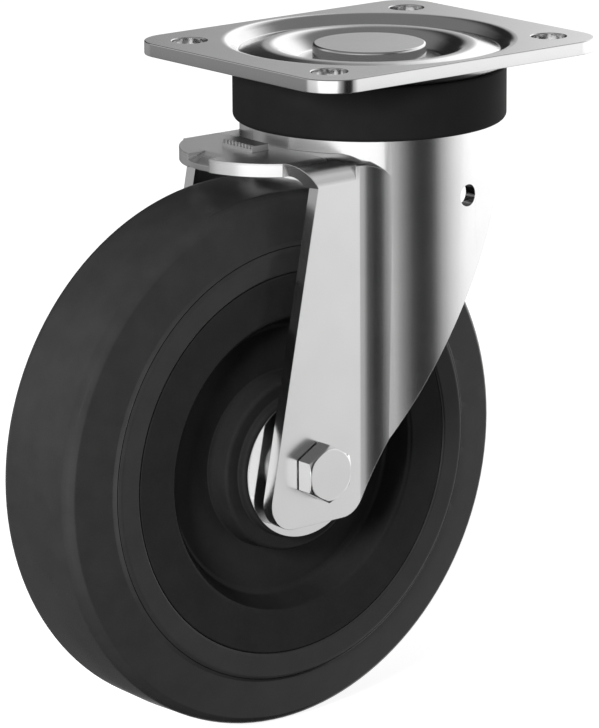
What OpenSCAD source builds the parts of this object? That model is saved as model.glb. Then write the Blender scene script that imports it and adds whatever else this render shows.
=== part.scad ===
// Swivel castor with a pressed steel fork, a bolted top plate and a solid rubber tyred wheel.
// Z is up and the origin is the centre of the plate's top face.
// The castor travels along +X, and the wheel trails behind the swivel axis at -X.
// The near side is at -Y, where the axle bolt has its head, and the far side is at +Y.

/* [Top plate] */
// Length of the plate along the travel
plate_len = 135; // [130:1:150]
// Width of the plate across the travel
plate_wid = 114; // [114:1:130]
// Thickness of the plate's sheet
plate_t = 5; // [4:0.5:5.5]
// Radius of the plate's corners
plate_corner_r = 14; // [8:1:16]
// Bolt spacing along the travel
bolt_gap_x = 105; // [100:1:110]
// Bolt spacing across the travel
bolt_gap_y = 80; // [76:1:88]
// Diameter of the bolt holes
bolt_hole_d = 13; // [9:0.5:14]
// Depth of the ring trough round the upper ball race
trough_drop = 3.8; // [3:0.2:4.2]
// Depth of the race's crest below the plate's top face
crest_drop = 1.8; // [1.4:0.2:2.4]
// Depth of the floor under the kingpin's head
floor_drop = 7.5; // [7:0.5:9]

/* [Swivel head] */
// Neck's outer face to the pitch circle of the upper balls
race_inset = 10; // [9:0.5:11]
// Diameter of the upper balls
ball_d = 10; // [9:0.5:10.5]
// Pitch circle of the upper balls to that of the lower balls
row_step = 11; // [10:0.5:11.5]
// Diameter of the lower balls
low_ball_d = 8; // [7:0.5:8.5]
// Smallest gap between neighbouring balls of a row
ball_gap = 0.5; // [0.3:0.1:2]
// Diameter of the kingpin's shank
kingpin_d = 20; // [16:1:22]
// Kingpin's head to the middle of the bend round the dish's floor
head_room = 5; // [4:0.5:6]
// Depth of the kingpin's top below the plate's top face
kingpin_sink = 1.5; // [1:0.5:3]
// Width across the flats of the kingpin's nut
kingpin_nut_af = 30; // [28:1:32]
// Height of the kingpin's nut
kingpin_nut_h = 14; // [10:1:15]
// Thickness of the kingpin's washer
kingpin_washer_t = 2.5; // [2:0.5:3]
// Thickness of the swivel seal's skirt
seal_wall = 1.9; // [1.5:0.1:3]
// Height of the swivel seal
seal_h = 20; // [15:1:22]

/* [Fork] */
// Thickness of the fork's sheet
sheet_t = 5; // [4:0.5:5.5]
// Outer radius of the fork's neck and of its round front
shell_r = 48; // [47.6:0.2:49]
// Distance between the legs' inner faces
leg_gap = 65; // [63:0.5:67]
// Radius of the hollow bend between a leg and the round front
flank_r = 26; // [18:1:30]
// Inner radius of the bend between a leg and the web
bend_r = 4; // [2:0.5:6]
// Height of the neck above the web
neck_h = 19; // [16:1:21]
// Swivel axis to wheel axis, along the travel
trail = 56.5; // [52:0.5:60]
// Plate's top face to wheel axis
axle_drop = 146.3; // [144:0.1:152]
// Wheel axis to the bottom of a leg
foot_drop = 20; // [18:1:24]
// Wheel axis to the front and rear of a leg's foot
foot_half = 21.5; // [19:0.5:24]
// Corner radius of a leg's foot
foot_corner_r = 10; // [6:1:14]
// Rear edge of the legs at their top, behind the swivel axis
leg_rear_x = 55.7; // [53:0.1:58]
// Wheel axis to the kink in a leg's front edge, along the travel
kink_x = 31; // [29:0.5:34]
// Wheel axis to the kink in a leg's front edge, upwards
kink_z = 6.6; // [4:0.2:10]
// Lean of the front's lower edge from the upright
front_lean = 32.3; // [30:0.1:34]
// Radius that turns the lower edge level at the front
apron_r = 20; // [10:1:24]
// Radius of the web's nose
nose_r = 34; // [33:0.5:35]
// Swivel axis to the centre of the web's nose
nose_x = 46; // [44:0.5:47]
// Width of the notch in the nose
notch_w = 12.5; // [6:0.5:14]
// Length of the notch in the nose
notch_len = 9; // [6:0.5:10]
// How far the notch lies off the middle plane
notch_off = 1.3; // [0:0.1:3]
// Length of the toothed stop on the web
stop_len = 17; // [12:1:18]
// Diameter of the hole in each flank of the round front
side_hole_d = 8; // [5:0.5:9]

/* [Wheel] */
// Outer diameter of the tyre
tyre_d = 200; // [196:1:202]
// Width of the tyre at its beads
tyre_w = 50; // [46:1:52]
// Width of the tread
tread_w = 32; // [28:1:34]
// Radius of the bead's outer step
bead_r = 80.5; // [78:0.5:84]
// Radius of the wheel centre's rim
rim_r = 71; // [68:0.5:74]
// Height of the rib that holds the tyre on the rim
rim_rib = 4; // [2:0.5:6]
// Radius where the rim's face turns into the recess
recess_r = 56.5; // [54:0.5:58]
// Radius of the hollow between the recess's wall and its floor
recess_round = 3; // [2:0.5:4]
// Wheel's middle plane to the recess's floor
recess_floor = 15; // [13:0.5:16]
// Radius of the hub's boss
boss_r = 32.5; // [31:0.5:34]
// Wheel's middle plane to the boss's face
boss_y = 25; // [23:0.5:26]
// Inner face of a leg to the end of the hub
hub_inset = 4; // [3.5:0.5:5]
// Radius of the hub's end collar
collar_r = 27; // [26.5:0.5:29]

/* [Axle and bearings] */
// Outer diameter of the bearings
bearing_od = 47; // [45:1:48]
// Bore of the bearings
bearing_id = 20; // [18:1:21]
// Width of a bearing
bearing_w = 14; // [13:0.5:14]
// Diameter of the bearing balls
bearing_ball_d = 7.9; // [7:0.1:8.2]
// Number of balls in a bearing
bearing_ball_count = 8; // [6:1:8]
// Diameter of the axle bolt
bolt_d = 12; // [10:1:12]
// Width across the flats of the bolt's head and nut
bolt_af = 19; // [17:1:20]
// Height of the bolt's head
bolt_head_h = 7.5; // [6:0.5:8]
// Height of the axle nut with its locking collar
axle_nut_h = 12; // [9:0.5:13]
// Diameter of the side discs
disc_d = 52.6; // [50:0.2:53]
// Thickness of the side discs at their rim
disc_t = 0.9; // [0.6:0.1:1.2]

/* [Hidden] */
$fn = 96;
ball_fn = 36;
big = 400;
// Play between a ball and each of its races
ball_play = 0.1;
// Radius of a race groove less the radius of its ball
groove_ease = 0.4;
// Slip clearance between round pieces of one body
slip = 0.02;
// Clearance round the axle bolt
bolt_play = 0.2;
// Gap between the wheel and what stands still beside it
side_gap = 0.4;
// Distance between the middle of an upper ball and the fork's crown
race_show = 2.6;
// Gap between the seal's skirt and the neck
seal_gap = 0.6;
// How far a hollow bend stops short of touching the walls that it joins
crease = 0.03;

// Dish of the plate, as arcs whose centres lie in the (radius, height) plane
dish_bend = plate_t + 0.8;
trough_bend = 1;
crest_bend = plate_t + ball_d / 2 + groove_ease;
floor_bend = 3;
dish_rim = 6.7;
crest_width = 12;
race_r = shell_r - race_inset;
low_race_r = race_r - row_step;
dish_r = shell_r + dish_rim;
dish_c = [dish_r, -dish_bend];
trough_c = [shell_r, trough_bend - trough_drop];
crest_c = [race_r, -crest_drop - crest_bend];
floor_c = [race_r - crest_width, floor_bend - floor_drop];
kingpin_head_r = floor_c[0] - head_room;

// Heights of the swivel head, from the plate's race downwards
ball_z = -crest_drop - plate_t - ball_play - ball_d / 2;
fork_race_z = ball_z - ball_d / 2 - ball_play;
crown_z = ball_z - race_show;
crown_round = 4;
roof_z = fork_race_z - sheet_t;
low_groove = 2;
race_rise = 1.9;
race_lip = 5;
race_sheet = 4.8;
sleeve_wall = 4;
bore_rim = 3.6;
low_ball_z = roof_z + low_groove - ball_play - low_ball_d / 2;
low_race_top = low_ball_z - low_ball_d / 2 + race_rise;
low_race_bottom = low_ball_z - low_ball_d / 2 - ball_play - race_sheet;
low_race_outer = low_race_r + race_lip;
sleeve_r = kingpin_d / 2 + sleeve_wall;
fork_bore_r = low_race_r - low_ball_d / 2 - groove_ease - bore_rim;
kingpin_nut_z = low_race_bottom - kingpin_washer_t - kingpin_nut_h;
seal_top = -trough_drop - plate_t - 0.05;

// Fork
leg_y = leg_gap / 2 + sheet_t;
out_bend = bend_r + sheet_t;
web_z = crown_z - neck_h;
bend_z = web_z - out_bend;
axle_x = -trail;
axle_z = -axle_drop;
foot_z = axle_z - foot_drop;
flank_c = [-sqrt(pow(shell_r + flank_r, 2) - pow(leg_y + flank_r, 2)), -leg_y - flank_r];
kink = [axle_x + kink_x, axle_z + kink_z];
front_top = [kink[0] + tan(front_lean) * (bend_z - kink[1]), bend_z];
apron_step = apron_r * tan(45 - front_lean / 2);
apron_c = [front_top[0] + apron_step, bend_z - apron_r];
rear_top = [-leg_rear_x, bend_z];
rear_foot_c = [axle_x - foot_half + foot_corner_r, foot_z + foot_corner_r];
front_foot_c = [axle_x + foot_half - foot_corner_r, foot_z + foot_corner_r];
nose_c = [-nose_x, 0];
nose_turn = asin((leg_y - out_bend) / nose_r);
nose_end = [-nose_x - nose_r * cos(nose_turn), leg_y - out_bend];
nose_tip = nose_x + nose_r;
notch_drop = 3;
notch_sheet = 2;
stop_x = shell_r + 13.2;
stop_y = 1.6;
stop_w = 7.7;
stop_h = 2.4;
stop_teeth = 9;
tooth_pitch = stop_len / stop_teeth;
tooth_gap = 1.1;
tooth_depth = 1.2;
tooth_h = 1.3;
side_hole_x = 6.5;
side_hole_z = web_z - 18.6;
// Cut through the bend between the nose and a leg's rear edge, half way round the bend
flare_point = [-leg_rear_x - 4.2, -leg_y + out_bend * (1 - sin(45)), bend_z + out_bend * cos(45)];
flare_tilt = 34;

// Wheel
tyre_r = tyre_d / 2;
bead_y = tyre_w / 2;
tread_drop = 0.4;
shoulder_r = 6;
shoulder_c = [tyre_r - tread_drop - shoulder_r, tread_w / 2 - 1];
wall_foot = [bead_r + 1.5, bead_y - 2];
rib_half = 9;
rim_face = bead_y - 0.3;
recess_lip = 2.2;
wall_draft = 25;
wall_top = [recess_r - recess_lip * cos(wall_draft), rim_face - recess_lip * (1 - sin(wall_draft))];
wall_run = wall_top[1] - recess_floor - recess_round * (1 - sin(wall_draft));
hollow_r = wall_top[0] - wall_run * tan(wall_draft) - recess_round * cos(wall_draft);
hub_half = leg_gap / 2 - hub_inset;
collar_end = hub_half - 0.3;
bearing_y = hub_half - bearing_w;
hub_bore_r = bearing_od / 2 - 3.5;

// Bearings and axle
bearing_mid = hub_half - bearing_w / 2;
pitch_r = (bearing_od + bearing_id) / 4;
ring_lip = 3.25;
inner_ring_r = pitch_r - ring_lip;
outer_ring_r = pitch_r + ring_lip;
shield_t = 0.6;
shield_r = inner_ring_r + 0.35;
cage_t = 2.6;
cage_w = 8;
cage_ease = 0.3;
bearing_play = 0.05;
groove_r = bearing_ball_d / 2 + bearing_play;
tube_r = bearing_id / 2;
bolt_hole_r = bolt_d / 2 + bolt_play;
disc_y = hub_half + side_gap;
disc_boss_r = tube_r + 3;
nut_collar_h = 2.5;
nut_collar_r = bolt_d / 2 + 2.6;
washer_face = 0.5;
bolt_end = leg_y + axle_nut_h + 2;

// Points of a circle's arc from angle a0 to angle a1
function arc(c, r, a0, a1, n = 8) =
    [for (i = [0:n]) c + r * [cos(a0 + (a1 - a0) * i / n), sin(a0 + (a1 - a0) * i / n)]];
function turn(v) = atan2(v[1], v[0]);
// Normal of a sheet that runs from a bend centred below it to one centred above it, and back
function down_normal(a, ra, b, rb) = turn(b - a) - acos((ra + rb) / norm(b - a));
function up_normal(b, rb, c, rc) = turn(b - c) + acos((rb + rc) / norm(b - c));
// Angle at which a line from point p touches a circle, on the side that s gives
function touch(p, c, r, s) = turn(p - c) + s * acos(r / norm(p - c));

// Dish outline at depth t below the sheet's top face
function dish_line(t) =
    let (
        n1 = down_normal(dish_c, dish_bend, trough_c, trough_bend),
        n2 = up_normal(trough_c, trough_bend, crest_c, crest_bend),
        n3 = down_normal(crest_c, crest_bend, floor_c, floor_bend)
    )
    concat(
        [[dish_r + 1, -t]],
        arc(dish_c, dish_bend - t, 90, n1),
        arc(trough_c, -trough_bend - t, n1, n2),
        arc(crest_c, crest_bend - t, n2, n3, 12),
        arc(floor_c, -floor_bend - t, n3, 90),
        [[kingpin_d / 2 + slip, -floor_drop - t]]
    );

// Number of balls of diameter d that a row has room for
function balls_round(pitch, d) = floor(180 / asin((d + ball_gap) / 2 / pitch));

function reversed(list) = [for (i = [len(list) - 1:-1:0]) list[i]];

// Turns a profile of (radius, y) about the wheel's axis
module about_axle() {
    translate([axle_x, 0, axle_z]) rotate([-90, 0, 0]) rotate_extrude() children();
}

// Repeats its children on both sides of the middle plane
module both_sides() {
    children();
    mirror([0, 1, 0]) children();
}

module ring_of_balls(count, pitch, d) {
    for (i = [0:count - 1]) rotate([0, 0, i * 360 / count]) translate([pitch, 0, 0]) {
        sphere(d = d, $fn = ball_fn);
    }
}

module hex_prism(af, h) {
    cylinder(r = af / 2 / cos(30), h = h, $fn = 6);
}

// Hexagon with its outer corners turned down to a cone, outer face at the top
module turned_hex(af, h) {
    corner = af / 2 / cos(30);
    intersection() {
        hex_prism(af, h);
        rotate_extrude() polygon([[0, 0], [corner + 1, 0], [corner + 1, h - 1.6], [af / 2 - 0.4, h], [0, h]]);
    }
}

module rounded_plate() {
    x = plate_len / 2 - plate_corner_r;
    y = plate_wid / 2 - plate_corner_r;
    square([2 * x, plate_wid], center = true);
    square([plate_len, 2 * y], center = true);
    for (sx = [-1, 1], sy = [-1, 1]) translate([sx * x, sy * y]) circle(r = plate_corner_r);
}

module top_plate() color("silver") {
    translate([0, 0, -plate_t]) linear_extrude(plate_t) difference() {
        rounded_plate();
        circle(r = dish_r + 0.5);
        for (sx = [-1, 1], sy = [-1, 1])
            translate([sx * bolt_gap_x / 2, sy * bolt_gap_y / 2]) circle(d = bolt_hole_d);
    }
    rotate_extrude() polygon(concat(dish_line(0), reversed(dish_line(plate_t))));
}

module kingpin() color("lightgray") {
    shank_r = kingpin_d / 2;
    end_z = kingpin_nut_z - 1.5;
    rotate_extrude() polygon([
        [0, -kingpin_sink], [kingpin_head_r - 0.6, -kingpin_sink], [kingpin_head_r, -kingpin_sink - 0.6],
        [kingpin_head_r, -floor_drop], [shank_r, -floor_drop], [shank_r, end_z + 1],
        [shank_r - 1, end_z], [0, end_z]
    ]);
}

module lower_race() color("dimgray") difference() {
    rotate_extrude() polygon([
        [kingpin_d / 2 + slip, -floor_drop - plate_t], [sleeve_r, -floor_drop - plate_t],
        [sleeve_r, low_race_top], [low_race_outer, low_race_top], [low_race_outer, low_race_bottom + 2],
        [low_race_outer - 2, low_race_bottom], [kingpin_d / 2 + slip, low_race_bottom]
    ]);
    race_groove(low_race_r, low_ball_d, low_ball_z + groove_ease - ball_play);
}

// Ring groove for a row of balls of diameter d
module race_groove(pitch, d, z) {
    rotate_extrude() translate([pitch, z]) circle(r = d / 2 + groove_ease);
}

module kingpin_washer() color("gray") translate([0, 0, low_race_bottom - kingpin_washer_t]) {
    difference() {
        cylinder(r = kingpin_nut_af / 2 + 3, h = kingpin_washer_t);
        translate([0, 0, -1]) cylinder(d = kingpin_d + 2 * slip, h = kingpin_washer_t + 2);
    }
}

module kingpin_nut() color("gray") translate([0, 0, kingpin_nut_z]) difference() {
    translate([0, 0, kingpin_nut_h]) mirror([0, 0, 1]) turned_hex(kingpin_nut_af, kingpin_nut_h);
    translate([0, 0, -1]) cylinder(d = kingpin_d + 2 * slip, h = kingpin_nut_h + 2);
}

module swivel_seal() color("#202020") {
    inner = shell_r + seal_gap;
    outer = inner + seal_wall;
    bottom = seal_top - seal_h;
    rotate_extrude() polygon(concat(
        [[shell_r - 4, seal_top], [outer - 0.6, seal_top], [outer, seal_top - 0.6]],
        arc([inner, bottom + seal_wall], seal_wall, 0, -90),
        [[inner, seal_top - 2], [shell_r - 4, seal_top - 2]]
    ));
}

module upper_balls() color("gainsboro") translate([0, 0, ball_z]) {
    ring_of_balls(balls_round(race_r, ball_d), race_r, ball_d);
}

module lower_balls() color("gainsboro") translate([0, 0, low_ball_z]) {
    ring_of_balls(balls_round(low_race_r, low_ball_d), low_race_r, low_ball_d);
}

// Legs and web as one block, seen from the front, with its upper edges rounded
module leg_block(half, top, r, x0, x1) {
    translate([x0, 0, 0]) rotate([90, 0, 90]) linear_extrude(x1 - x0) {
        translate([-half, foot_z - 10]) square([2 * half, top - r - foot_z + 10]);
        translate([-half + r, foot_z - 10]) square([2 * (half - r), top - foot_z + 10]);
        for (s = [-1, 1]) translate([s * (half - r), top - r]) circle(r = r);
    }
}

// Filling of the corner between a leg's plane at y and the round wall of radius r
module flank(y, r, bend, top, top_r) {
    end = flank_c * r / (r + bend);
    intersection() {
        both_sides() translate([0, 0, foot_z - 10]) linear_extrude(big) difference() {
            polygon([[flank_c[0], 1 - y], [flank_c[0], -y], end, [end[0], 1 - y]]);
            translate(flank_c) circle(r = bend + crease);
        }
        leg_block(y + 5, top, top_r + 5, flank_c[0] - 1, 0);
    }
}

module fork_outside() {
    rotate_extrude() polygon(concat(
        [[0, foot_z - 10], [shell_r, foot_z - 10]],
        arc([shell_r - crown_round, crown_z - crown_round], crown_round, 0, 90),
        [[0, crown_z]]
    ));
    leg_block(leg_y, web_z, out_bend, -nose_tip - 5, -trail / 2);
    flank(leg_y, shell_r, flank_r, web_z, out_bend);
}

module fork_inside() {
    translate([0, 0, foot_z - 20]) cylinder(r = shell_r - sheet_t, h = roof_z - foot_z + 20);
    leg_block(leg_gap / 2, web_z - sheet_t, bend_r, -nose_tip - 10, -trail / 2);
    flank(leg_gap / 2, shell_r - sheet_t, flank_r + sheet_t, web_z - sheet_t, bend_r);
}

// Outline of the fork seen from the side, below the bend
module side_outline() {
    rear = touch(rear_top, rear_foot_c, foot_corner_r, 1);
    front = touch(kink, front_foot_c, foot_corner_r, -1);
    polygon(concat(
        [rear_top],
        arc(rear_foot_c, foot_corner_r, rear, 270),
        arc(front_foot_c, foot_corner_r, 270, 360 + front),
        [kink],
        arc(apron_c, apron_r, 180 - front_lean, 90),
        [[shell_r + 5, bend_z], [shell_r + 5, bend_z + 1], rear_top + [0, 1]]
    ));
}

// Outline of the web seen from above
module web_outline() {
    polygon(concat(
        [[shell_r + 5, leg_y + 20], [nose_end[0] + 2, leg_y + 20], [nose_end[0] + 2, leg_y]],
        arc(nose_c, nose_r, 180 - nose_turn, 180 + nose_turn, 24),
        [[nose_end[0] + 2, -leg_y], [nose_end[0] + 2, -leg_y - 20], [shell_r + 5, -leg_y - 20]]
    ));
}

// What is cut off behind a slanting plane across the bend, beside the nose
module flare_cut() {
    slant = [-cos(flare_tilt), -sin(flare_tilt) * sin(45), -sin(flare_tilt) * sin(45)];
    intersection() {
        translate(flare_point) rotate([0, acos(slant[2]), atan2(slant[1], slant[0])]) {
            translate([-big / 2, -big / 2, 0]) cube(big);
        }
        translate([-big, -big - nose_end[1], bend_z - 1]) cube(big);
    }
}

// Notch in the nose: a thin tongue slopes down inside it
module nose_notch() {
    x0 = -nose_tip + notch_len;
    x1 = -nose_tip - 1;
    translate([0, notch_off, 0]) rotate([90, 0, 0]) linear_extrude(notch_w, center = true) {
        polygon([[x0, web_z], [x1, web_z - notch_drop], [x1, web_z + 1], [x0, web_z + 1]]);
        polygon([
            [x0 - 2, web_z - sheet_t - 1], [x0 - 2, web_z - notch_sheet - 1],
            [x1, web_z - notch_sheet - notch_drop], [x1, web_z - sheet_t - 1]
        ]);
    }
}

// Bar on the web with small teeth along its rear upper edge
module stop() difference() {
    translate([-stop_x, stop_y - stop_len / 2, web_z - 1]) cube([stop_w, stop_len, stop_h + 1]);
    for (i = [0 : stop_teeth - 1]) {
        y = stop_y - stop_len / 2 + (i + 0.5) * tooth_pitch - tooth_gap / 2;
        translate([-stop_x - 1, y, web_z + stop_h - tooth_h]) {
            cube([tooth_depth + 1, tooth_gap, tooth_h + 1]);
        }
    }
}

module fork_sheet() difference() {
    intersection() {
        fork_outside();
        union() {
            rotate([90, 0, 0]) linear_extrude(big, center = true) side_outline();
            difference() {
                translate([0, 0, bend_z]) linear_extrude(big) web_outline();
                both_sides() flare_cut();
            }
        }
    }
    fork_inside();
    cylinder(r = fork_bore_r, h = 2 * shell_r, center = true);
    race_groove(race_r, ball_d, fork_race_z + ball_d / 2 + groove_ease);
    race_groove(low_race_r, low_ball_d, low_ball_z - groove_ease + ball_play);
    translate([axle_x, 0, axle_z]) rotate([90, 0, 0]) cylinder(r = bolt_hole_r, h = big, center = true);
    translate([side_hole_x, 0, side_hole_z]) rotate([90, 0, 0]) {
        cylinder(d = side_hole_d, h = big, center = true);
    }
    nose_notch();
}

module fork() color("silver") union() {
    fork_sheet();
    stop();
}

module axle_bolt() color("silver") translate([axle_x, 0, axle_z]) {
    translate([0, -leg_y - washer_face, 0]) rotate([90, 30, 0]) {
        turned_hex(bolt_af, bolt_head_h - washer_face);
    }
    translate([0, -leg_y, 0]) rotate([90, 0, 0]) cylinder(d = bolt_af - 2, h = washer_face + 1);
    translate([0, -leg_y, 0]) rotate([-90, 0, 0]) cylinder(d = bolt_d, h = leg_y + bolt_end - 1);
    translate([0, bolt_end - 1, 0]) rotate([-90, 0, 0]) cylinder(d1 = bolt_d, d2 = bolt_d - 2, h = 1);
}

module axle_nut() color("silver") translate([axle_x, leg_y, axle_z]) rotate([-90, 30, 0]) difference() {
    turned_hex(bolt_af, axle_nut_h - nut_collar_h);
    translate([0, 0, -1]) cylinder(d = bolt_d + 2 * slip, h = axle_nut_h + 2);
}

module nut_collar() color("royalblue") translate([0, leg_y + axle_nut_h - nut_collar_h, 0]) about_axle() {
    polygon([
        [bolt_d / 2 + slip, 0], [nut_collar_r, 0], [nut_collar_r, nut_collar_h - 0.8],
        [nut_collar_r - 0.8, nut_collar_h], [bolt_d / 2 + slip, nut_collar_h]
    ]);
}

module axle_tube() color("lightgray") about_axle() {
    translate([bolt_hole_r, -leg_gap / 2]) square([tube_r - bolt_hole_r, leg_gap]);
}

// Disc that covers the hub's end, with a boss that reaches from the bearing to the leg
module side_disc() color("white") about_axle() polygon([
    [tube_r + slip, hub_half], [inner_ring_r, hub_half], [inner_ring_r + 1, disc_y], [disc_d / 2, disc_y],
    [disc_d / 2, disc_y + disc_t], [disc_boss_r + 1, disc_y + disc_t], [disc_boss_r, leg_gap / 2],
    [tube_r + slip, leg_gap / 2]
]);

module bearing_spacer() color("lightgray") about_axle() {
    translate([tube_r + slip, -bearing_y]) square([2.5, 2 * bearing_y]);
}

// Section of a bearing ring between two radii, with its ball groove
module ring_section(r0, r1) {
    difference() {
        translate([r0, bearing_y]) square([r1 - r0, bearing_w]);
        translate([pitch_r, bearing_mid]) circle(r = groove_r);
    }
}

module inner_ring() color("gainsboro") about_axle() ring_section(tube_r + slip, inner_ring_r);

module outer_ring() color("gainsboro") about_axle() ring_section(outer_ring_r, bearing_od / 2 - slip);

module bearing_balls() color("white") translate([axle_x, bearing_mid, axle_z]) rotate([-90, 0, 0]) {
    ring_of_balls(bearing_ball_count, pitch_r, bearing_ball_d);
}

module cage() color("khaki") difference() {
    about_axle() translate([pitch_r - cage_t / 2, bearing_mid - cage_t]) square([cage_t, cage_w]);
    translate([axle_x, bearing_mid, axle_z]) rotate([-90, 0, 0]) {
        ring_of_balls(bearing_ball_count, pitch_r, bearing_ball_d + cage_ease);
    }
}

module shields() color("black") about_axle() {
    for (y = [bearing_y + 0.2, hub_half - shield_t - 0.2]) {
        translate([shield_r, y]) square([outer_ring_r - slip - shield_r, shield_t]);
    }
}

function centre_line() = concat(
    [[hub_bore_r, 0], [hub_bore_r, bearing_y], [bearing_od / 2, bearing_y], [bearing_od / 2, collar_end],
        [collar_r - 1, collar_end], [collar_r, collar_end - 1], [collar_r, boss_y], [boss_r - 1, boss_y],
        [boss_r, boss_y - 1], [boss_r + 0.5, recess_floor]],
    arc([hollow_r, recess_floor + recess_round], recess_round, -90, -wall_draft),
    arc([recess_r, rim_face - recess_lip], recess_lip, 180 - wall_draft, 90),
    [[rim_r, rim_face], [rim_r, rib_half + rim_rib], [rim_r + rim_rib, rib_half], [rim_r + rim_rib, 0]]
);

module wheel_centre() color("#1c1c1c") about_axle() {
    polygon(concat(centre_line(), [for (p = reversed(centre_line())) [p[0], -p[1]]]));
}

function tyre_line() = concat(
    [[rim_r + rim_rib, 0], [rim_r + rim_rib, rib_half], [rim_r, rib_half + rim_rib], [rim_r, bead_y],
        [bead_r - 0.5, bead_y], [bead_r, bead_y - 0.5], [bead_r + 0.4, wall_foot[1] + 0.2], wall_foot],
    arc(shoulder_c, shoulder_r, 65, 0),
    [[tyre_r, 0]]
);

module tyre() color("#343434") about_axle() {
    polygon(concat(tyre_line(), [for (p = reversed(tyre_line())) [p[0], -p[1]]]));
}

top_plate();
kingpin();
lower_race();
kingpin_washer();
kingpin_nut();
swivel_seal();
upper_balls();
lower_balls();
fork();
axle_bolt();
axle_nut();
nut_collar();
axle_tube();
mirror([0, 1, 0]) side_disc();  // disc_near
side_disc();  // disc_far
bearing_spacer();
mirror([0, 1, 0]) inner_ring();  // inner_ring_near
inner_ring();  // inner_ring_far
mirror([0, 1, 0]) outer_ring();  // outer_ring_near
outer_ring();  // outer_ring_far
mirror([0, 1, 0]) bearing_balls();  // bearing_balls_near
bearing_balls();  // bearing_balls_far
mirror([0, 1, 0]) cage();  // cage_near
cage();  // cage_far
mirror([0, 1, 0]) shields();  // shields_near
shields();  // shields_far
wheel_centre();
tyre();
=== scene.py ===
"""Looks of the swivel castor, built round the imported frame."""

import math

import bpy
from mathutils import Matrix, Vector


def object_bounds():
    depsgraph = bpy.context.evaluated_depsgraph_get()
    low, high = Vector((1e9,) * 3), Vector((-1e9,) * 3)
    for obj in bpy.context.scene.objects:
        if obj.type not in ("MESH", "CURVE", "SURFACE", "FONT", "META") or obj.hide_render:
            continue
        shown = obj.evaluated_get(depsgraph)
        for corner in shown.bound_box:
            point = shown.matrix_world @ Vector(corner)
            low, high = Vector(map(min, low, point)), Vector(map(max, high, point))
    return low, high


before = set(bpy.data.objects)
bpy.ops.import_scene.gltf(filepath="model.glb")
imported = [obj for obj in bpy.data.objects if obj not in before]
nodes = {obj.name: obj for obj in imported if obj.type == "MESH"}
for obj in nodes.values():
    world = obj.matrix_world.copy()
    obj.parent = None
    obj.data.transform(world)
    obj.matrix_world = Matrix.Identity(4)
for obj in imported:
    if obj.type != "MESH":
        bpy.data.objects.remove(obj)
cad_low, cad_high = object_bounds()

MM = 0.001

# Camera, solved from the photograph's outlines and bolt holes
CAMERA_AIM = Vector((-21.161, 0.0, -111.524)) * MM
CAMERA_DISTANCE = 1660.39 * MM
CAMERA_BEARING = math.radians(39.71)
CAMERA_ELEVATION = math.radians(14.294)
CAMERA_ROLL = math.radians(-0.274)
CAMERA_CLIP = (0.01, 100.0)
PICTURE_WIDTH = 599
PICTURE_HEIGHT = 728
FOCAL_PIXELS = 4485.03
CENTRE_PIXEL = (326.413, 341.884)
SENSOR = 36.0

# Studio: brightness against the bearing, in degrees from -Y towards -X
BELOW_HORIZON = [
    (-180, 0.3), (-150, 0.2), (-142, 1.2), (-60, 1.35), (-46, 1.15), (-39, 0.91), (-26, 0.5),
    (-18, 0.016), (2, 0.016), (12, 0.24), (20, 0.5), (28, 1.4), (78, 1.4), (88, 0.8), (112, 0.7),
    (124, 0.24), (150, 0.24), (160, 0.3), (180, 0.3)]
ABOVE_HORIZON = [
    (-180, 0.1), (-162, 0.02), (-148, 0.02), (-140, 0.45), (-133, 1.3), (-90, 1.2), (-50, 0.8),
    (-30, 0.4), (-12, 0.08), (4, 0.08), (20, 0.4), (60, 0.7), (120, 0.4), (150, 0.6), (166, 0.2),
    (180, 0.1)]
OVERHEAD = 0.2
UNDERFOOT = 0.04
LOW_FADE = (0.76, 1.14)  # factors on BELOW_HORIZON, well below the horizon and close to it
RAMP_SCALE = 2.0  # a colour ramp holds 0 to 1, so the brightness is halved in it

# Where one zone of the studio turns into the next, as the Z of the direction looked in
LOW_FADE_SPAN = (-0.28, -0.17)
HORIZON_SPAN = (-0.1, 0.12)
OVERHEAD_SPAN = (0.45, 0.75)
UNDERFOOT_SPAN = (-0.6, -0.78)

BACKDROP = 1.0  # seen by camera rays
PLAIN_LIGHT = 0.25  # seen by diffuse rays

FLOOR_HALF = 4.0
FLOOR_GLOW = 0.9
FLOOR_COLOUR = 0.5

LAMP_BEARING = math.radians(64)
LAMP_ELEVATION = math.radians(20)
LAMP_DISTANCE = 1.5
LAMP_SIZE = 0.4
LAMP_POWER = 38.0

# Mottling: the speckle's share of the tone (clouds make up the rest), the tones at which the
# colour range begins and ends, the size of the clouds and the detail of the speckle
STEEL_MOTTLE = {"share": 0.5, "ends": (0.3, 0.7), "cloud_size": 20 * MM, "detail": 1.0}
DULL_MOTTLE = {"share": 0.35, "ends": (0.35, 0.65), "cloud_size": 12 * MM, "detail": 2.0}
CLOUD_DETAIL = 3.0
CLOUD_ROUGHNESS = 0.6
STEEL_PATCH = 0.04  # how far the colour of steel goes up and down

# The web behind the neck is rougher than the rest of the fork
WEB_REACH = ((None, None, -34.2 * MM), (-47 * MM, None, None))
WEB_ROUGHER = 0.12
SOFT_EDGE = 0.4 * MM

# Rounding of sharp edges: the widths in millimetres, node by node
EDGES = {
    "top_plate": 0.4, "kingpin": 0.4, "fork": 0.15, "disc_near": 0.2, "disc_far": 0.2,
    "axle_bolt": 0.2, "axle_nut": 0.2, "kingpin_washer": 0.2, "kingpin_nut": 0.2,
    "lower_race": 0.3, "swivel_seal": 0.3, "wheel_centre": 0.6, "tyre": 1.2,
    "shields_near": 0.2, "shields_far": 0.2,
}
BEVEL_SEGMENTS = 2
WELD = 0.002 * MM
FLAT_ANGLE = math.radians(0.15)
SHARP_ANGLE = math.radians(34)


def grey(value):
    return (value, value, value)


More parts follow.
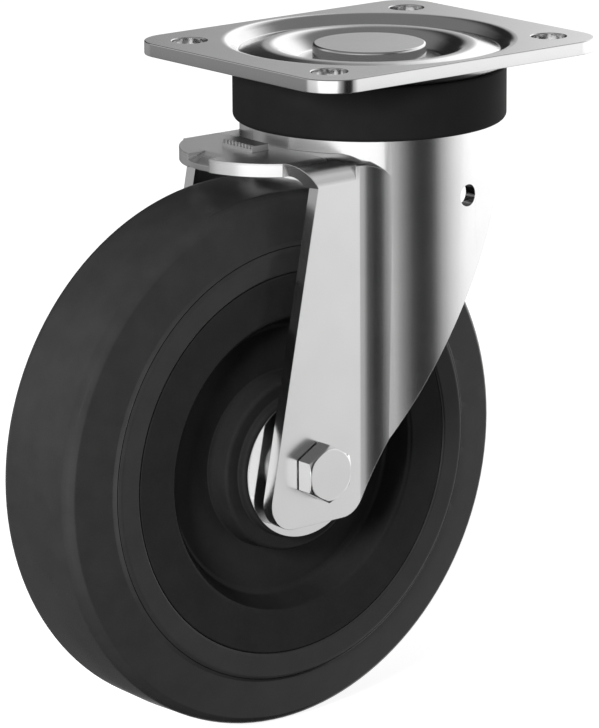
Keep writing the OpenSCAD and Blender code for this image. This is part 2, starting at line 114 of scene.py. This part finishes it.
def direction(bearing, elevation):
    """Unit vector at a bearing from -Y towards -X and an elevation, both in radians."""
    level = math.cos(elevation)
    return Vector((-math.sin(bearing) * level, -math.cos(bearing) * level, math.sin(elevation)))


def place(thing):
    bpy.context.scene.collection.objects.link(thing)
    return thing


class Nodes:
    """Short names for making and joining shader nodes."""

    def __init__(self, tree):
        self.tree = tree

    def add(self, kind, **settings):
        node = self.tree.nodes.new("ShaderNode" + kind)
        for name, value in settings.items():
            setattr(node, name, value)
        return node

    def join(self, out, target):
        self.tree.links.new(out, target)

    def put(self, target, value):
        """Joins value to the socket, or sets the socket where value is a plain number."""
        if isinstance(value, bpy.types.NodeSocket):
            self.join(value, target)
        else:
            target.default_value = value

    def math(self, operation, *values):
        node = self.add("Math", operation=operation)
        for socket, value in zip(node.inputs, values):
            self.put(socket, value)
        return node.outputs[0]

    def mix(self, factor, a, b):
        node = self.add("Mix", data_type="FLOAT")
        sockets = (node.inputs[0], node.inputs[2], node.inputs[3])
        for socket, value in zip(sockets, (factor, a, b)):
            self.put(socket, value)
        return node.outputs[0]

    def smooth(self, value, start, end):
        """Takes a value from start..end to 0..1 with a soft run-in and run-out."""
        node = self.add("MapRange", interpolation_type="SMOOTHSTEP")
        self.join(value, node.inputs["Value"])
        node.inputs["From Min"].default_value = start
        node.inputs["From Max"].default_value = end
        return node.outputs[0]

    def spread(self, value, low, high):
        """Takes a value from 0..1 to low..high."""
        return self.math("MULTIPLY_ADD", value, high - low, low)

    def axes(self, output):
        """The X, Y and Z of one of the texture coordinates."""
        split = self.add("SeparateXYZ")
        self.join(self.add("TexCoord").outputs[output], split.inputs[0])
        return split.outputs

    def ramp(self, factor, stops, interpolation):
        """A colour ramp through stops of (place, colour)."""
        node = self.add("ValToRGB")
        node.color_ramp.interpolation = interpolation
        elements = node.color_ramp.elements
        while len(elements) > 1:
            elements.remove(elements[0])
        for i, (position, colour) in enumerate(stops):
            element = elements[0] if i == 0 else elements.new(position)
            element.position = position
            element.color = (*colour, 1.0)
        self.join(factor, node.inputs["Fac"])
        return node.outputs["Color"]

    def noise(self, size, stretch=(1.0, 1.0, 1.0), detail=2.0, roughness=0.5):
        """Noise whose grains are about size metres, drawn out by stretch along each axis."""
        scale = self.add("Mapping")
        self.join(self.add("TexCoord").outputs["Object"], scale.inputs["Vector"])
        scale.inputs["Scale"].default_value = [1 / (size * s) for s in stretch]
        made = self.add("TexNoise")
        self.join(scale.outputs[0], made.inputs["Vector"])
        made.inputs["Scale"].default_value = 1.0
        made.inputs["Detail"].default_value = detail
        made.inputs["Roughness"].default_value = roughness
        return made.outputs["Fac"]

    def bump(self, height, depth, below=None):
        """A normal bent by height, on top of the bump below it where one is given."""
        made = self.add("Bump")
        made.inputs["Distance"].default_value = depth
        self.join(height, made.inputs["Height"])
        if below is not None:
            self.join(below, made.inputs["Normal"])
        return made.outputs["Normal"]


def make_camera():
    data = bpy.data.cameras.new("camera")
    data.sensor_fit = "AUTO"
    data.sensor_width = SENSOR
    data.lens = FOCAL_PIXELS / PICTURE_HEIGHT * SENSOR
    data.shift_x = (PICTURE_WIDTH / 2 - CENTRE_PIXEL[0]) / PICTURE_HEIGHT
    data.shift_y = (CENTRE_PIXEL[1] - PICTURE_HEIGHT / 2) / PICTURE_HEIGHT
    data.clip_start, data.clip_end = CAMERA_CLIP
    camera = place(bpy.data.objects.new("camera", data))
    back = direction(CAMERA_BEARING, CAMERA_ELEVATION)
    camera.matrix_world = (
        Matrix.Translation(CAMERA_AIM + back * CAMERA_DISTANCE)
        @ (-back).to_track_quat("-Z", "Y").to_matrix().to_4x4()
        @ Matrix.Rotation(CAMERA_ROLL, 4, "Z")
    )
    bpy.context.scene.camera = camera


def band(tree, bearing, stops):
    """Brightness all round one band of the studio."""
    stops = [((degrees + 180) / 360, grey(value / RAMP_SCALE)) for degrees, value in stops]
    return tree.math("MULTIPLY", tree.ramp(bearing, stops, "EASE"), RAMP_SCALE)


def make_world():
    """Camera rays see the white backdrop, diffuse rays a plain light, and the rest the studio."""
    world = bpy.data.worlds.new("studio")
    bpy.context.scene.world = world
    world.use_nodes = True
    world.node_tree.nodes.clear()
    world.cycles.sampling_method = "NONE"  # diffuse rays see one even light, so nothing to aim at
    tree = Nodes(world.node_tree)
    x, y, z = tree.axes("Generated")
    angle = tree.math("ARCTAN2", tree.math("MULTIPLY", x, -1.0), tree.math("MULTIPLY", y, -1.0))
    bearing = tree.math("MULTIPLY_ADD", angle, 1 / (2 * math.pi), 0.5)
    lower = band(tree, bearing, BELOW_HORIZON)
    lower = tree.math("MULTIPLY", lower, tree.mix(tree.smooth(z, *LOW_FADE_SPAN), *LOW_FADE))
    upper = band(tree, bearing, ABOVE_HORIZON)
    studio = tree.mix(tree.smooth(z, *HORIZON_SPAN), lower, upper)
    studio = tree.mix(tree.smooth(z, *OVERHEAD_SPAN), studio, OVERHEAD)
    studio = tree.mix(tree.smooth(z, *UNDERFOOT_SPAN), studio, UNDERFOOT)
    rays = tree.add("LightPath")
    lit = tree.mix(rays.outputs["Is Diffuse Ray"], studio, PLAIN_LIGHT)
    seen = tree.mix(rays.outputs["Is Camera Ray"], lit, BACKDROP)
    back = tree.add("Background")
    back.inputs["Color"].default_value = (*grey(1.0), 1.0)
    tree.join(seen, back.inputs["Strength"])
    tree.join(back.outputs[0], tree.add("OutputWorld").inputs["Surface"])


def material(name, colour, roughness, metallic=0.0, specular=0.5):
    made = bpy.data.materials.new(name)
    made.use_nodes = True
    shader = made.node_tree.nodes["Principled BSDF"]
    shader.inputs["Base Color"].default_value = (*colour, 1.0)
    shader.inputs["Roughness"].default_value = roughness
    shader.inputs["Metallic"].default_value = metallic
    shader.inputs["Specular IOR Level"].default_value = specular
    return made, Nodes(made.node_tree), shader


def make_floor():
    """A white floor that keeps the castor's shadow and is left out of reflections."""
    corners = [(-1, -1), (1, -1), (1, 1), (-1, 1)]
    points = [(x * FLOOR_HALF, y * FLOOR_HALF, cad_low[2]) for x, y in corners]
    mesh = bpy.data.meshes.new("floor")
    mesh.from_pydata(points, [], [(0, 1, 2, 3)])
    floor = place(bpy.data.objects.new("floor", mesh))
    made, tree, shader = material("floor", grey(FLOOR_COLOUR), 1.0, specular=0.0)
    rays = tree.add("LightPath")
    glow = tree.add("Emission")
    shine = tree.math("MULTIPLY", rays.outputs["Is Camera Ray"], FLOOR_GLOW)
    tree.join(shine, glow.inputs["Strength"])
    both = tree.add("AddShader")
    tree.join(shader.outputs[0], both.inputs[0])
    tree.join(glow.outputs[0], both.inputs[1])
    tree.join(both.outputs[0], made.node_tree.nodes["Material Output"].inputs["Surface"])
    mesh.materials.append(made)
    floor.visible_glossy = False


def make_lamp():
    """One soft lamp from the left, for the tyre and the wheel centre."""
    data = bpy.data.lights.new("lamp_left", "AREA")
    data.size = LAMP_SIZE
    data.energy = LAMP_POWER
    lamp = place(bpy.data.objects.new("lamp_left", data))
    towards = direction(LAMP_BEARING, LAMP_ELEVATION)
    lamp.location = (Vector(cad_low) + Vector(cad_high)) / 2 + towards * LAMP_DISTANCE
    lamp.rotation_euler = towards.to_track_quat("Z", "Y").to_euler()
    lamp.visible_glossy = False
    lamp.visible_camera = False


def mottle(tree, shader, low, high, rough, grain, share, ends, cloud_size, detail):
    """Lets speckle and clouds vary the colour and the roughness, and gives back the speckle."""
    speckle = tree.noise(grain, detail=detail)
    cloud = tree.noise(cloud_size, detail=CLOUD_DETAIL, roughness=CLOUD_ROUGHNESS)
    tone = tree.math(
        "ADD", tree.math("MULTIPLY", speckle, share), tree.math("MULTIPLY", cloud, 1 - share))
    colour = tree.ramp(tone, [(ends[0], low), (ends[1], high)], "LINEAR")
    tree.join(colour, shader.inputs["Base Color"])
    tree.join(tree.spread(tone, *rough), shader.inputs["Roughness"])
    return speckle


def steel(name, colour, rough, grain, depth, streak=None, streak_depth=0.0):
    """Bright plated steel: rough is its range of roughness, grain the size of its speckle in
    metres, depth the height of the speckle, and streak how far it is drawn out in streaks."""
    made, tree, shader = material(name, colour, rough[0], metallic=1.0)
    low = tuple(c * (1 - STEEL_PATCH) for c in colour)
    high = tuple(min(1.0, c * (1 + STEEL_PATCH)) for c in colour)
    speckle = mottle(tree, shader, low, high, rough, grain, **STEEL_MOTTLE)
    normal = tree.bump(speckle, depth)
    if streak:
        streaks = tree.noise(grain, streak, detail=STEEL_MOTTLE["detail"])
        normal = tree.bump(streaks, streak_depth, normal)
    tree.join(normal, shader.inputs["Normal"])
    return made


def dull(name, low, high, rough, grain, depth, specular):
    """Rubber, paint and moulded plastic: low and high are the ends of the colour range."""
    made, tree, shader = material(name, low, rough[0], specular=specular)
    speckle = mottle(tree, shader, low, high, rough, grain, **DULL_MOTTLE)
    tree.join(tree.bump(speckle, depth), shader.inputs["Normal"])
    return made


def roughen(made, reach, extra):
    """Makes a material rougher inside a box given by its lowest and highest corners, in metres.
    None leaves a side of the box open."""
    tree = Nodes(made.node_tree)
    places = tree.axes("Object")
    inside = None
    for corner, side in zip(reach, (1, -1)):
        for value, axis in zip(corner, places):
            if value is None:
                continue
            soft = tree.smooth(axis, value - side * SOFT_EDGE, value + side * SOFT_EDGE)
            inside = soft if inside is None else tree.math("MULTIPLY", inside, soft)
    socket = made.node_tree.nodes["Principled BSDF"].inputs["Roughness"]
    tree.join(tree.math("MULTIPLY_ADD", inside, extra, socket.links[0].from_socket), socket)


def paint(shown, made):
    for slot in shown.material_slots:
        slot.material = made


def ease_edges(shown, width):
    """Rounds a node's sharp edges with modifiers. The mesh itself stays as it is."""
    weld = shown.modifiers.new("weld", "WELD")
    weld.merge_threshold = WELD
    flat = shown.modifiers.new("flat", "DECIMATE")
    flat.decimate_type = "DISSOLVE"
    flat.angle_limit = FLAT_ANGLE
    flat.delimit = set()
    bevel = shown.modifiers.new("bevel", "BEVEL")
    bevel.width = width
    bevel.segments = BEVEL_SEGMENTS
    bevel.limit_method = "ANGLE"
    bevel.angle_limit = SHARP_ANGLE
    bevel.use_clamp_overlap = False  # or the node's shortest edge would limit every width
    bevel.miter_outer = "MITER_ARC"
    weighted = shown.modifiers.new("shade", "WEIGHTED_NORMAL")
    weighted.mode = "FACE_AREA_WITH_ANGLE"
    weighted.keep_sharp = False


make_camera()
make_world()
make_floor()
make_lamp()
bpy.context.scene.view_settings.view_transform = "Standard"

plate_zinc = steel(
    "plate_zinc", grey(0.76), rough=(0.12, 0.18), grain=0.35 * MM, depth=0.0008 * MM)
fork_zinc = steel(
    "fork_zinc", grey(0.77), rough=(0.2, 0.26), grain=0.35 * MM, depth=0.001 * MM,
    streak=(1, 1, 40), streak_depth=0.0006 * MM)
roughen(fork_zinc, WEB_REACH, WEB_ROUGHER)
bolt_zinc = steel(
    "bolt_zinc", grey(0.78), rough=(0.12, 0.2), grain=0.3 * MM, depth=0.0005 * MM)
disc_zinc = steel(
    "disc_zinc", grey(0.8), rough=(0.06, 0.12), grain=0.3 * MM, depth=0.0003 * MM)
ball_steel = steel(
    "ball_steel", grey(0.72), rough=(0.04, 0.08), grain=0.2 * MM, depth=0.0001 * MM)
seal_plastic = dull(
    "seal_plastic", grey(0.007), grey(0.0095), rough=(0.62, 0.74), grain=0.3 * MM,
    depth=0.002 * MM, specular=0.12)
rubber = dull(
    "rubber", grey(0.019), grey(0.024), rough=(0.2, 0.3), grain=0.5 * MM,
    depth=0.0015 * MM, specular=0.17)
iron = dull(
    "wheel_iron", grey(0.0115), grey(0.015), rough=(0.26, 0.36), grain=0.9 * MM,
    depth=0.003 * MM, specular=0.06)
nylon = dull(
    "nylon", (0.62, 0.59, 0.5), (0.68, 0.65, 0.56), rough=(0.35, 0.5), grain=0.3 * MM,
    depth=0.002 * MM, specular=0.4)

FINISH = [
    (plate_zinc, ["top_plate", "kingpin", "lower_race"]),
    (fork_zinc, ["fork", "axle_tube", "bearing_spacer"]),
    (bolt_zinc, ["axle_bolt", "axle_nut", "kingpin_washer", "kingpin_nut"]),
    (disc_zinc, ["disc_near", "disc_far"]),
    (ball_steel, [
        "upper_balls", "lower_balls", "inner_ring_near", "inner_ring_far", "outer_ring_near",
        "outer_ring_far", "bearing_balls_near", "bearing_balls_far"]),
    (seal_plastic, ["swivel_seal", "shields_near", "shields_far"]),
    (nylon, ["nut_collar", "cage_near", "cage_far"]),
    (iron, ["wheel_centre"]),
    (rubber, ["tyre"]),
]
for made, names in FINISH:
    for name in names:
        paint(nodes[name], made)
for name, width in EDGES.items():
    ease_edges(nodes[name], width * MM)
